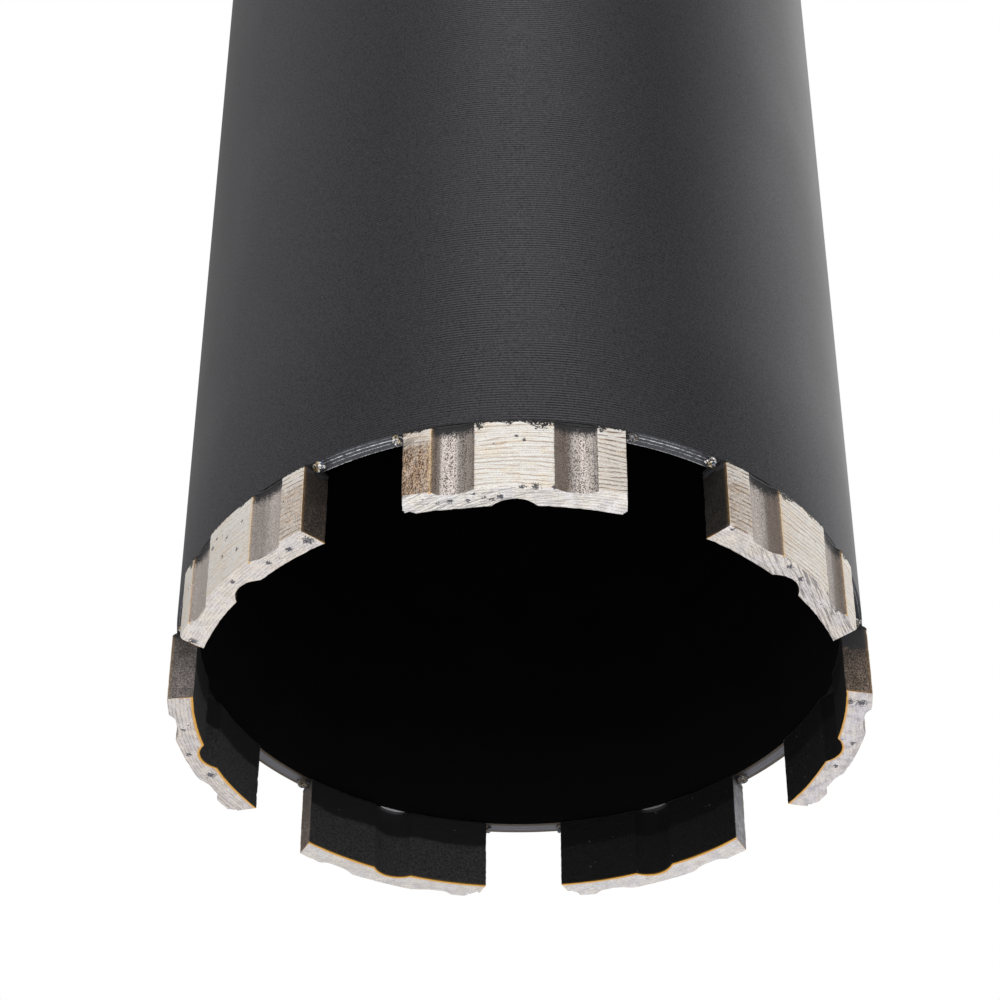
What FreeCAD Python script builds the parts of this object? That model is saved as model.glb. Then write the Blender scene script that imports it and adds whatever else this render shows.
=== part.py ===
import FreeCAD, Part
import math
import os

import Sketcher

# Diamond core bit, laser welded, standing on its crown.
# Frame: +Z up along the axis, cutting faces on z = 0, segment_1 towards -Y. Lengths in millimetres.

# Driving sizes
SIZES = {
    # Crown
    "bit_diameter": 82.0,
    "segment_count": 7,
    "segment_length": 24.1,
    "segment_thickness": 3.1,
    "segment_height": 9.35,
    "centre_land": 8.4,
    "groove_mouth": 4.8,
    "groove_depth": 0.65,
    "groove_centre_slope": 1.4,
    "groove_end_slope": 0.95,
    "groove_corner_radius": 0.5,
    "notch_mouth": 4.9,
    "notch_depth": 1.1,
    # Laser seam
    "seam_height": 0.45,
    "runout_length": 0.6,
    "bead_radius": 0.65,
    "bead_gap": 0.02,
    # Barrel
    "outer_relief": 0.5,
    "barrel_wall": 2.0,
    "barrel_length": 440.2,
    # Back plate and its weld
    "plate_flange": 6.0,
    "plate_spigot": 6.0,
    "plate_clearance": 0.1,
    "plate_lead": 1.0,
    "plate_edge": 1.5,
    "weld_groove": 1.2,
    "weld_crown": 0.2,
    # Hub and its weld
    "hub_diameter": 50.0,
    "hub_height": 32.0,
    "hub_spigot_diameter": 38.0,
    "hub_clearance": 0.05,
    "hub_edge": 1.5,
    "thread_bore": 27.8,
    "thread_mouth": 32.6,
    "flats_width": 41.0,
    "flats_height": 18.0,
    "fillet_leg": 5.0,
    "fillet_belly": 0.6,
}

# Derived sizes, as expressions over the sheet
OUTER_RADIUS = "(sizes.bit_diameter / 2)"
INNER_RADIUS = f"({OUTER_RADIUS} - sizes.segment_thickness)"
HALF_LENGTH = "(sizes.segment_length / 2)"
BARREL_OUTER = f"({OUTER_RADIUS} - sizes.outer_relief)"
BARREL_INNER = f"({BARREL_OUTER} - sizes.barrel_wall)"
BARREL_MIDDLE = f"({BARREL_OUTER} - sizes.barrel_wall / 2)"
RIM_HEIGHT = "(sizes.segment_height + sizes.seam_height)"
BARREL_TOP = f"({RIM_HEIGHT} + sizes.barrel_length)"
PLATE_TOP = f"({BARREL_TOP} + sizes.plate_flange)"
PLATE_BORE = "(sizes.hub_spigot_diameter / 2 + sizes.hub_clearance)"

document = FreeCAD.newDocument("core_bit")
sheet = document.addObject("Spreadsheet::Sheet", "sizes")
for row, (alias, value) in enumerate(SIZES.items(), start=1):
    sheet.set(f"A{row}", alias)
    sheet.set(f"B{row}", str(value))
    sheet.setAlias(f"B{row}", alias)
document.recompute()


def number(expression):
    """Value of an expression over the sheet."""
    return float(sheet.evalExpression(expression))


def on_circle(radius, across):
    """Distance up from the axis of a point on a circle, at a distance across."""
    return f"sqrt({radius} ^ 2 - ({across}) ^ 2)"


def new_body(label, height="0"):
    """An empty body with its base at a height on the axis."""
    body = document.addObject("PartDesign::Body", label)
    body.Label = label
    body.setExpression("Placement.Base.z", height)
    return body


def new_sketch(body, name, plane_role, lift="0"):
    """A sketch on one of the body's own origin planes."""
    sketch = body.newObject("Sketcher::SketchObject", f"{body.Name}_{name}")
    plane = next(item for item in body.Origin.OriginFeatures if item.Role == plane_role)
    sketch.AttachmentSupport = [(plane, "")]
    sketch.MapMode = "FlatFace"
    sketch.setExpression("AttachmentOffset.Base.z", lift)
    return sketch


def bind(sketch, constraint, name, expression):
    """Add a constraint whose value follows an expression."""
    index = sketch.addConstraint(constraint)
    sketch.renameConstraint(index, name)
    sketch.setExpression(f"Constraints.{name}", expression)


def tie_corner(sketch, edge, name, across, up):
    """Tie the start of an edge to its two coordinates."""
    if across == "0":
        sketch.addConstraint(Sketcher.Constraint("PointOnObject", edge, 1, -2))
    else:
        across_rule = Sketcher.Constraint("DistanceX", -1, 1, edge, 1, number(across))
        bind(sketch, across_rule, f"{name}_across", across)
    if up == "0":
        sketch.addConstraint(Sketcher.Constraint("PointOnObject", edge, 1, -1))
    else:
        up_rule = Sketcher.Constraint("DistanceY", -1, 1, edge, 1, number(up))
        bind(sketch, up_rule, f"{name}_up", up)


def polygon(sketch, name, corners):
    """Closed outline of straight edges, each corner given by two expressions."""
    points = [FreeCAD.Vector(number(across), number(up), 0) for across, up in corners]
    first = sketch.GeometryCount
    for start, end in zip(points, points[1:] + points[:1]):
        sketch.addGeometry(Part.LineSegment(start, end), False)
    for index, (across, up) in enumerate(corners):
        following = first + (index + 1) % len(corners)
        sketch.addConstraint(Sketcher.Constraint("Coincident", first + index, 2, following, 1))
        tie_corner(sketch, first + index, f"{name}_{index}", across, up)


def ring_sector(sketch, outer, inner, half_length):
    """Outline between two arcs about the axis, closed by two parallel ends."""
    axis = FreeCAD.Vector(0, 0, 1)
    centre = FreeCAD.Vector(0, 0, 0)
    half = number(half_length)
    ends = {}
    for name, radius in (("outer", number(outer)), ("inner", number(inner))):
        angle = math.acos(half / radius)
        circle = Part.Circle(centre, axis, radius)
        sketch.addGeometry(Part.ArcOfCircle(circle, angle, math.pi - angle), False)
        ends[name] = FreeCAD.Vector(half, radius * math.sin(angle), 0)
    mirrored = {name: FreeCAD.Vector(-end.x, end.y, 0) for name, end in ends.items()}
    sketch.addGeometry(Part.LineSegment(ends["inner"], ends["outer"]), False)
    sketch.addGeometry(Part.LineSegment(mirrored["inner"], mirrored["outer"]), False)
    for arc in (0, 1):
        sketch.addConstraint(Sketcher.Constraint("Coincident", arc, 3, -1, 1))
    for arc, arc_end, line, line_end in ((0, 1, 2, 2), (1, 1, 2, 1), (0, 2, 3, 2), (1, 2, 3, 1)):
        sketch.addConstraint(Sketcher.Constraint("Coincident", arc, arc_end, line, line_end))
    for line in (2, 3):
        sketch.addConstraint(Sketcher.Constraint("Vertical", line))
    bind(sketch, Sketcher.Constraint("Radius", 0, number(outer)), "outer_radius", outer)
    bind(sketch, Sketcher.Constraint("Radius", 1, number(inner)), "inner_radius", inner)
    bind(sketch, Sketcher.Constraint("DistanceX", -1, 1, 2, 1, half), "right_end", half_length)
    bind(sketch, Sketcher.Constraint("DistanceX", 3, 1, -1, 1, half), "left_end", half_length)


def add_feature(body, kind, name, sketch, **expressions):
    """A solid feature from a sketch, with its sizes bound to the sheet."""
    feature = body.newObject(f"PartDesign::{kind}", f"{body.Name}_{name}")
    feature.Profile = sketch
    for size, expression in expressions.items():
        feature.setExpression(size, expression)
    body.Tip = feature
    return feature


def cut_right_through(body, name, sketch):
    """A pocket through the whole body, on both sides of its sketch, that must remove metal."""
    document.recompute()
    before = body.Shape.Volume
    pocket = add_feature(body, "Pocket", name, sketch)
    pocket.SideType = "Symmetric"
    pocket.Type = "ThroughAll"
    document.recompute()
    if body.Shape.Volume >= before:
        raise RuntimeError(f"{pocket.Name} removes nothing")
    return pocket


def turned_section(body, corners):
    """A solid of revolution about the axis from a section of straight edges."""
    sketch = new_sketch(body, "section", "XZ_Plane")
    polygon(sketch, "corner", corners)
    turned = add_feature(body, "Revolution", "turned", sketch)
    turned.ReferenceAxis = (sketch, ["V_Axis"])
    turned.Angle = 360
    return turned


def upright_edges_at(shape, places):
    """Names of the edges parallel to the axis that pass through the given places."""
    names = []
    for index, edge in enumerate(shape.Edges, start=1):
        ends = [vertex.Point for vertex in edge.Vertexes]
        if any(all(math.hypot(end.x - x, end.y - y) < 0.001 for end in ends) for x, y in places):
            names.append(f"Edge{index}")
    return names


def groove_corners(side):
    """Groove outline on one side: an inclined wall, a floor that follows the outer face, a steeper wall."""
    floor_radius = f"({OUTER_RADIUS} - sizes.groove_depth)"
    mouth_start = "(sizes.centre_land / 2)"
    mouth_end = f"({mouth_start} + sizes.groove_mouth)"
    floor_start = f"({mouth_start} + sizes.groove_centre_slope)"
    floor_end = f"({mouth_end} - sizes.groove_end_slope)"
    clear_of_face = f"({OUTER_RADIUS} + sizes.groove_depth)"
    return [
        (f"{side} * {mouth_start}", clear_of_face),
        (f"{side} * {mouth_start}", on_circle(OUTER_RADIUS, mouth_start)),
        (f"{side} * {floor_start}", on_circle(floor_radius, floor_start)),
        (f"{side} * {floor_end}", on_circle(floor_radius, floor_end)),
        (f"{side} * {mouth_end}", on_circle(OUTER_RADIUS, mouth_end)),
        (f"{side} * {mouth_end}", clear_of_face),
    ]


def notch_circle(sketch):
    """Round notch in the inner face, an arc through the mouth's two edges and the notch's depth."""
    rise = f"({INNER_RADIUS} + sizes.notch_depth - {on_circle(INNER_RADIUS, 'sizes.notch_mouth / 2')})"
    radius = f"(((sizes.notch_mouth / 2) ^ 2 + {rise} ^ 2) / (2 * {rise}))"
    centre = f"({INNER_RADIUS} + sizes.notch_depth - {radius})"
    middle = FreeCAD.Vector(0, number(centre), 0)
    sketch.addGeometry(Part.Circle(middle, FreeCAD.Vector(0, 0, 1), number(radius)), False)
    sketch.addConstraint(Sketcher.Constraint("PointOnObject", 0, 3, -2))
    bind(sketch, Sketcher.Constraint("DistanceY", -1, 1, 0, 3, number(centre)), "centre", centre)
    bind(sketch, Sketcher.Constraint("Radius", 0, number(radius)), "radius", radius)


def segment_plan(body, height):
    """The segment's plan shape, grooved outside and notched inside, raised to a height."""
    plan = new_sketch(body, "plan", "XY_Plane")
    ring_sector(plan, OUTER_RADIUS, INNER_RADIUS, HALF_LENGTH)
    add_feature(body, "Pad", "block", plan, Length=height)

    grooves = new_sketch(body, "grooves", "XY_Plane")
    floor_places = []
    for side, name in (("1", "right"), ("-1", "left")):
        corners = groove_corners(side)
        polygon(grooves, name, corners)
        floor_places += [(number(across), number(up)) for across, up in corners[2:4]]
    cut_right_through(body, "grooved", grooves)

    notch = new_sketch(body, "notch", "XY_Plane")
    notch_circle(notch)
    notched = cut_right_through(body, "notched", notch)

    rounded = body.newObject("PartDesign::Fillet", f"{body.Name}_rounded")
    rounded.Base = (notched, upright_edges_at(notched.Shape, floor_places))
    rounded.setExpression("Radius", "sizes.groove_corner_radius")
    body.Tip = rounded


def place_on_ring(body, index):
    """Turn a piece drawn towards +Y to its place in the crown."""
    body.Placement.Rotation = FreeCAD.Rotation(FreeCAD.Vector(0, 0, 1), 180)
    body.setExpression("Placement.Rotation.Angle", f"180 + {index} * 360 / sizes.segment_count")


def make_segment(index):
    """One diamond segment."""
    body = new_body(f"segment_{index + 1}")
    segment_plan(body, "sizes.segment_height")
    place_on_ring(body, index)
    return body


def make_segment_weld(index):
    """Laser seam on a segment's back face, run out past both ends and finished in a bead."""
    body = new_body(f"segment_weld_{index + 1}", "sizes.segment_height")
    segment_plan(body, "sizes.seam_height")

    runout = new_sketch(body, "runout", "XY_Plane")
    outer = f"({BARREL_MIDDLE} + sizes.bead_radius)"
    inner = f"({BARREL_MIDDLE} - sizes.bead_radius)"
    ring_sector(runout, outer, inner, f"({HALF_LENGTH} + sizes.runout_length)")
    add_feature(body, "Pad", "run", runout, Length="sizes.seam_height")

    across = f"({HALF_LENGTH} + sizes.bead_gap + sizes.bead_radius)"
    for side, name in (("1", "right"), ("-1", "left")):
        bead = body.newObject("PartDesign::AdditiveSphere", f"{body.Name}_bead_{name}")
        bead.Angle1 = -90
        bead.Angle2 = 0
        bead.setExpression("Radius", "sizes.bead_radius")
        bead.setExpression("Placement.Base.x", f"{side} * {across}")
        bead.setExpression("Placement.Base.y", on_circle(BARREL_MIDDLE, across))
        bead.setExpression("Placement.Base.z", "sizes.seam_height")
        body.Tip = bead
    place_on_ring(body, index)
    return body


def make_barrel():
    """Steel tube with its upper outer edge bevelled for the weld."""
    body = new_body("barrel", RIM_HEIGHT)
    turned_section(body, [
        (BARREL_INNER, "0"),
        (BARREL_OUTER, "0"),
        (BARREL_OUTER, "sizes.barrel_length - sizes.weld_groove"),
        (f"{BARREL_OUTER} - sizes.weld_groove", "sizes.barrel_length"),
        (BARREL_INNER, "sizes.barrel_length"),
    ])
    return body


def make_back_plate():
    """Turned disc: a flange on the barrel's end and a spigot inside it."""
    body = new_body("back_plate", BARREL_TOP)
    spigot_radius = f"({BARREL_INNER} - sizes.plate_clearance)"
    turned_section(body, [
        (PLATE_BORE, "-sizes.plate_spigot"),
        (f"{spigot_radius} - sizes.plate_lead", "-sizes.plate_spigot"),
        (spigot_radius, "-sizes.plate_spigot + sizes.plate_lead"),
        (spigot_radius, "0"),
        (f"{BARREL_OUTER} - sizes.weld_groove", "0"),
        (BARREL_OUTER, "sizes.weld_groove"),
        (BARREL_OUTER, "sizes.plate_flange - sizes.plate_edge"),
        (f"{BARREL_OUTER} - sizes.plate_edge", "sizes.plate_flange"),
        (PLATE_BORE, "sizes.plate_flange"),
    ])
    return body


def make_plate_weld():
    """Weld ring that fills the groove between barrel and back plate."""
    body = new_body("plate_weld", BARREL_TOP)
    turned_section(body, [
        (f"{BARREL_OUTER} - sizes.weld_groove", "0"),
        (BARREL_OUTER, "-sizes.weld_groove"),
        (f"{BARREL_OUTER} + sizes.weld_crown", "-sizes.weld_groove / 2"),
        (f"{BARREL_OUTER} + sizes.weld_crown", "sizes.weld_groove / 2"),
        (BARREL_OUTER, "sizes.weld_groove"),
    ])
    return body


def make_coupling_hub():
    """Turned hub with a bore at the thread's inner diameter and two wrench flats."""
    body = new_body("coupling_hub", PLATE_TOP)
    hub_radius = "(sizes.hub_diameter / 2)"
    spigot_radius = "(sizes.hub_spigot_diameter / 2)"
    spigot_bottom = "-(sizes.plate_flange + sizes.plate_spigot)"
    mouth_depth = "(sizes.thread_mouth - sizes.thread_bore) / 2"
    turned_section(body, [
        ("sizes.thread_bore / 2", spigot_bottom),
        (spigot_radius, spigot_bottom),
        (spigot_radius, "0"),
        (hub_radius, "0"),
        (hub_radius, "sizes.hub_height - sizes.hub_edge"),
        (f"{hub_radius} - sizes.hub_edge", "sizes.hub_height"),
        ("sizes.thread_mouth / 2", "sizes.hub_height"),
        ("sizes.thread_bore / 2", f"sizes.hub_height - {mouth_depth}"),
    ])
    document.recompute()
    turned_volume = body.Shape.Volume

    flats = new_sketch(body, "flats", "XY_Plane", "sizes.hub_height - sizes.flats_height")
    for side, name in (("1", "right"), ("-1", "left")):
        polygon(flats, name, [
            (f"{side} * sizes.flats_width / 2", f"-{hub_radius}"),
            (f"{side} * sizes.hub_diameter", f"-{hub_radius}"),
            (f"{side} * sizes.hub_diameter", hub_radius),
            (f"{side} * sizes.flats_width / 2", hub_radius),
        ])
    milled = add_feature(body, "Pocket", "milled", flats)
    milled.Type = "ThroughAll"
    milled.Reversed = True
    document.recompute()
    if body.Shape.Volume >= turned_volume:
        raise RuntimeError("the wrench flats remove nothing")
    return body


def make_hub_weld():
    """Fillet weld round the foot of the hub."""
    body = new_body("hub_weld", PLATE_TOP)
    hub_radius = "(sizes.hub_diameter / 2)"
    belly = "sizes.fillet_leg * sizes.fillet_belly"
    turned_section(body, [
        (hub_radius, "0"),
        (f"{hub_radius} + sizes.fillet_leg", "0"),
        (f"{hub_radius} + {belly}", belly),
        (hub_radius, "sizes.fillet_leg"),
    ])
    return body


def make_core_bit():
    """Every piece of the bit, in the order in which it is put together."""
    count = round(number("sizes.segment_count"))
    pieces = [make_barrel()]
    pieces += [make_segment_weld(index) for index in range(count)]
    pieces += [make_segment(index) for index in range(count)]
    pieces += [make_back_plate(), make_plate_weld(), make_coupling_hub(), make_hub_weld()]
    document.recompute()
    return pieces


def check(pieces):
    """Stop if anything in the document failed or a piece has no sound solid."""
    for item in document.Objects:
        if "Invalid" in item.State or "Error" in item.State:
            raise RuntimeError(f"{item.Name} failed: {item.State}")
    for piece in pieces:
        shape = piece.Shape
        if shape.isNull() or not shape.isValid() or len(shape.Solids) != 1:
            raise RuntimeError(f"{piece.Label} has no sound solid")


def write(pieces):
    """One file for each piece."""
    os.makedirs("parts", exist_ok=True)
    for piece in pieces:
        piece.Shape.exportStep(f"parts/{piece.Label}.step")
        print(f"{piece.Label}: {piece.Shape.Volume:.1f} mm3")


core_bit = make_core_bit()
check(core_bit)
write(core_bit)
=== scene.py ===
import math

import bpy
import numpy as np
from mathutils import Matrix, Vector


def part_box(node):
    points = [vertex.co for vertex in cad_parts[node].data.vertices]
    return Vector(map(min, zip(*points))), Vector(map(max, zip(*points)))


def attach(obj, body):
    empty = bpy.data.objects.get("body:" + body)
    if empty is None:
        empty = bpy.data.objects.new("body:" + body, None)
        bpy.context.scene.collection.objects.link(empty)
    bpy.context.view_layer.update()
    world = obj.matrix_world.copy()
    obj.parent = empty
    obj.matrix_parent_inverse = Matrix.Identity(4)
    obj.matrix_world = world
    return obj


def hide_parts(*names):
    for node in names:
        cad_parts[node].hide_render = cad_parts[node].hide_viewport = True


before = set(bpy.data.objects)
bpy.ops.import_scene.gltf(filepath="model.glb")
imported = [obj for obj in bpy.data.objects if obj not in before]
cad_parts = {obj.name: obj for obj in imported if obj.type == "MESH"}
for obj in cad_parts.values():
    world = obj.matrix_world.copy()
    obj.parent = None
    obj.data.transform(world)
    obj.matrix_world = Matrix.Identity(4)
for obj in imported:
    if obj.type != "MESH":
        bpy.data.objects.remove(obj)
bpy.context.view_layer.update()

# Diamond core bit, standing on its crown. Metres in the scene, millimetres in the sizes below.
# Angles round the axis are counted from -Y towards +X, so that segment_1 is at 0.

MM = 0.001


def node_low(name):
    """Lowest corner of a node, in millimetres."""
    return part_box(name)[0] / MM


def node_high(name):
    """Highest corner of a node, in millimetres."""
    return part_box(name)[1] / MM


# Sizes read from the frame
SEGMENT_COUNT = sum(name.startswith("segment_") and "weld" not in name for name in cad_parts)
BIT_RADIUS = -node_low("segment_1").y
HALF_LENGTH = node_high("segment_1").x
SEGMENT_HEIGHT = node_high("segment_1").z
RIM_HEIGHT = node_low("barrel").z
BARREL_TOP = node_high("barrel").z
BARREL_OUTER = round(node_high("barrel").x, 2)
PLATE_LOW = node_low("back_plate").z
PLATE_HIGH = node_high("back_plate").z
HUB_LOW = node_low("coupling_hub").z
HUB_TOP = node_high("coupling_hub").z
HUB_RADIUS = round(-node_low("coupling_hub").y, 2)

# Sizes of the crown
SEGMENT_THICKNESS = 3.1
INNER_RADIUS = BIT_RADIUS - SEGMENT_THICKNESS
CENTRE_LAND = 8.4
GROOVE_MOUTH = 4.8
GROOVE_DEPTH = 0.65
GROOVE_CENTRE_SLOPE = 1.4
GROOVE_END_SLOPE = 0.95
LAND_MOUTH = CENTRE_LAND / 2 + GROOVE_MOUTH
LAND_EDGES = (-LAND_MOUTH, -CENTRE_LAND / 2, CENTRE_LAND / 2, LAND_MOUTH)
NOTCH_MOUTH = 4.9
NOTCH_DEPTH = 1.1
WELD_FILL_HEIGHT = 1.0
WEAR_START = 4.5
BEAD_RADIUS = 0.65
BEAD_PLACE = HALF_LENGTH + 0.02 + BEAD_RADIUS

# Sizes of the barrel, plate and hub
BARREL_WALL = 2.0
BARREL_INNER = BARREL_OUTER - BARREL_WALL
BARREL_MIDDLE = BARREL_OUTER - BARREL_WALL / 2
RIM_BREAK = 0.06
LONG_STEP = 20
SHORT_STEP = 0.4
WELD_GROOVE = 1.2
WELD_CROWN = 0.2
PLATE_EDGE = 1.5
PLATE_LEAD = 1.0
PLATE_CLEARANCE = 0.1
HUB_SPIGOT = 19.0
HUB_CLEARANCE = 0.05
HUB_LEAD = 0.5
HUB_EDGE = 1.5
THREAD_BORE = 13.9
THREAD_MOUTH = 16.3
THREAD_PITCH = 25.4 / 7
THREAD_DEPTH = 1.96
FLATS_HALF = 20.5
FLATS_HEIGHT = 18.0
FILLET_LEG = 5.0

# Camera, solved from the photo: place in millimetres, turns in degrees
CAMERA_PLACE = Vector((3.0603, -275.9127, -196.1881))
CAMERA_PITCH = 39.6121
CAMERA_YAW = -1.1151
CAMERA_ROLL = 0.0601
CAMERA_LENS = 104.308


# Random fields

class Field:
    """Smooth random field over space, from a seeded lattice of values that repeats every 32 cells."""

    SIDE = 32

    def __init__(self, seed):
        self.values = np.random.default_rng(seed).uniform(-1, 1, (self.SIDE,) * 3)

    def single(self, points):
        cell = np.floor(points).astype(int)
        part = points - cell
        part = part * part * (3 - 2 * part)
        total = np.zeros(len(points))
        for corner in np.ndindex(2, 2, 2):
            index = (cell + corner) % self.SIDE
            weight = np.prod(np.where(corner, part, 1 - part), axis=1)
            total += weight * self.values[index[:, 0], index[:, 1], index[:, 2]]
        return total

    def at(self, points, scale, octaves):
        """Sum of octaves, about -1 to 1, with scale in cells per millimetre, for all axes or each."""
        points = np.asarray(points, float) * np.asarray(scale, float)
        total = np.zeros(len(points))
        strength = 1.0
        for octave in range(octaves):
            total += strength * self.single(points + 7.3 * octave)
            points = points * 2.03
            strength *= 0.5
        return total


# Mesh helpers

def make_piece(name, vertices, faces, materials, node, face_slots=0, crisp=None):
    """A smooth piece from vertices in millimetres, in place of a node, crisp past an angle in degrees."""
    mesh = bpy.data.meshes.new(name)
    faces = faces if isinstance(faces, list) else faces.tolist()
    mesh.from_pydata((np.asarray(vertices, float) * MM).tolist(), [], faces)
    for material in materials:
        mesh.materials.append(material)
    count = len(mesh.polygons)
    mesh.polygons.foreach_set("material_index", np.full(count, face_slots, dtype=np.int32))
    mesh.polygons.foreach_set("use_smooth", np.full(count, True))
    mesh.update()
    if crisp:
        mesh.set_sharp_from_angle(angle=math.radians(crisp))
    piece = bpy.data.objects.new(name, mesh)
    bpy.context.scene.collection.objects.link(piece)
    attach(piece, "root")
    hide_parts(node)
    return piece


def set_numbers(piece, **numbers):
    """Store numbers for each vertex, for the materials; a single one holds for all."""
    for name, values in numbers.items():
        values = np.full(len(piece.data.vertices), values, dtype=np.float32)
        piece.data.attributes.new(name, "FLOAT", "POINT").data.foreach_set("value", values)


def set_vectors(piece, **vectors):
    """Store vectors for each vertex, for the materials; a single one holds for all."""
    for name, values in vectors.items():
        values = np.full((len(piece.data.vertices), 3), values, dtype=np.float32).ravel()
        piece.data.attributes.new(name, "FLOAT_VECTOR", "POINT").data.foreach_set("vector", values)


def spaced(marks, step, crowding):
    """Positions from the first mark to the last, crowded towards every mark."""
    positions = [marks[0]]
    for start, end in zip(marks, marks[1:]):
        count = max(2, round((end - start) / step))
        share = np.arange(1, count + 1) / count
        share = share - crowding * np.sin(2 * np.pi * share) / (2 * np.pi)
        positions.extend(start + share * (end - start))
    return np.array(positions)


def grid_faces(index):
    """Four-sided faces between the neighbours in a grid of vertex numbers."""
    corners = (index[:-1, :-1], index[1:, :-1], index[1:, 1:], index[:-1, 1:])
    return np.stack(corners, axis=-1).reshape(-1, 4)


OUTER, INNER, LOWER, UPPER, LEFT, RIGHT = range(6)


def box_shell(*counts):
    """Surface of a block of cells: lattice places of its vertices, its faces and the side of each face."""
    inside = np.zeros(counts, bool)
    inside[1:-1, 1:-1, 1:-1] = True
    places = np.argwhere(~inside)
    index = np.full(counts, -1)
    index[tuple(places.T)] = np.arange(len(places))
    sheets = (index[:, 0], index[:, -1], index[:, :, 0], index[:, :, -1], index[0], index[-1])
    turned_over = (INNER, LOWER, LEFT)
    faces = []
    sides = []
    for side, sheet in enumerate(sheets):
        quads = grid_faces(sheet)
        faces.append(quads[:, ::-1] if side in turned_over else quads)
        sides.append(np.full(len(quads), side))
    return places, np.concatenate(faces), np.concatenate(sides)


def lathe(profile, angles):
    """Closed ring: profile points (radius, height) turned through all angles, as a grid, and its faces."""
    radius, height = np.asarray(profile, float).T
    turn = angles[:, None]
    rounds = np.broadcast_arrays(radius * np.sin(turn), -radius * np.cos(turn), height)
    index = np.arange(len(angles) * len(radius)).reshape(len(angles), len(radius))
    return np.stack(rounds, axis=-1), grid_faces(np.pad(index, (0, 1), mode="wrap"))


def evenly_round(count):
    """Angles all round the axis."""
    return np.arange(count) * 2 * np.pi / count


def softened(profile, radius):
    """Closed profile with every corner rounded, at most to a third of its shorter side."""
    profile = [np.array(point, float) for point in profile]
    rounded = []
    for index, corner in enumerate(profile):
        before = profile[index - 1] - corner
        after = profile[(index + 1) % len(profile)] - corner
        reach = min(radius, np.linalg.norm(before) / 3, np.linalg.norm(after) / 3)
        first = corner + before / np.linalg.norm(before) * reach
        last = corner + after / np.linalg.norm(after) * reach
        for share in np.linspace(0, 1, 5):
            rounded.append((1 - share) ** 2 * first + 2 * share * (1 - share) * corner + share ** 2 * last)
    return rounded


# Node helpers

class Value:
    """An output of a shader node that sums like a number."""

    def __init__(self, output):
        self.output = output
        self.tree = output.id_data

    def __add__(self, other):
        return calc("ADD", self, other)

    def __sub__(self, other):
        return calc("SUBTRACT", self, other)

    def __rsub__(self, other):
        return calc("SUBTRACT", other, self)

    def __mul__(self, other):
        return calc("MULTIPLY", self, other)


def add(tree, kind, inputs=None, **settings):
    """A node with its settings and inputs; an input that is a value of another node is linked."""
    node = tree.nodes.new(kind)
    for key, value in settings.items():
        setattr(node, key, value)
    for key, value in (inputs or {}).items():
        if isinstance(value, Value):
            tree.links.new(value.output, node.inputs[key])
        else:
            node.inputs[key].default_value = value
    return node


def tree_of(*values):
    """The node tree that the values are in."""
    return next(value.tree for value in values if isinstance(value, Value))


def calc(operation, *values):
    """A sum of one or two values, at least one of them from a node."""
    inputs = dict(enumerate(values))
    return Value(add(tree_of(*values), "ShaderNodeMath", inputs, operation=operation).outputs[0])


def attributes(tree, output, names):
    """What the mesh gives at each vertex under some names."""
    nodes = [add(tree, "ShaderNodeAttribute", attribute_name=name) for name in names]
    return [Value(node.outputs[output]) for node in nodes]


def vectors(tree, *names):
    """Vectors that the mesh gives at each vertex."""
    return attributes(tree, "Vector", names)


def numbers(tree, *names):
    """Numbers that the mesh gives at each vertex."""
    return attributes(tree, "Fac", names)


def mapped(vector, **change):
    """A vector scaled or turned axis by axis."""
    return Value(add(vector.tree, "ShaderNodeMapping", {"Vector": vector, **change}).outputs["Vector"])


def in_mm(tree):
    """Place in millimetres."""
    place = Value(add(tree, "ShaderNodeTexCoord").outputs["Object"])
    return mapped(place, Scale=(1000, 1000, 1000))


def parts(vector):
    """The three numbers of a vector."""
    return [Value(output) for output in add(vector.tree, "ShaderNodeSeparateXYZ", {"Vector": vector}).outputs]


def from_axis(place):
    """Distance from the bit's axis."""
    x, y, _ = parts(place)
    return calc("SQRT", x * x + y * y)


def dimmed(colour, factor):
    """A colour made darker or paler by a factor."""
    inputs = {0: colour, "Scale": factor}
    return Value(add(colour.tree, "ShaderNodeVectorMath", inputs, operation="SCALE").outputs["Vector"])


def noise(vector, scale, detail, rough):
    """Noise from 0 to 1, with one scale for all axes or one for each."""
    if isinstance(scale, tuple):
        vector = mapped(vector, Scale=scale)
        scale = 1.0
    inputs = {"Vector": vector, "Scale": scale, "Detail": detail, "Roughness": rough}
    return Value(add(vector.tree, "ShaderNodeTexNoise", inputs).outputs["Fac"])


def spots(vector, scale):
    """Distance to the nearest of scattered points."""
    inputs = {"Vector": vector, "Scale": scale}
    return Value(add(vector.tree, "ShaderNodeTexVoronoi", inputs).outputs["Distance"])


def span(value, low, high, start=0.0, end=1.0, kind="SMOOTHSTEP"):
    """A value mapped from one range to another and held at its ends."""
    inputs = {"Value": value, "From Min": low, "From Max": high, "To Min": start, "To Max": end}
    return Value(add(value.tree, "ShaderNodeMapRange", inputs, interpolation_type=kind).outputs["Result"])


def blend(share, first, second, kind="MIX"):
    """Two colours mixed by a share."""
    inputs = {0: share}
    for key, colour in ((6, first), (7, second)):
        inputs[key] = colour if isinstance(colour, Value) else (*colour, 1)
    tree = tree_of(share, first, second)
    return Value(add(tree, "ShaderNodeMix", inputs, data_type="RGBA", blend_type=kind).outputs[2])


def hairlines(vector, width):
    """Thin wandering lines, 1 where a noise passes its middle value and 0 away from there."""
    return span(calc("ABSOLUTE", noise(vector, 1.0, 2, 0.5) - 0.5), 0.0, width, 1.0, 0.0)


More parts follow.
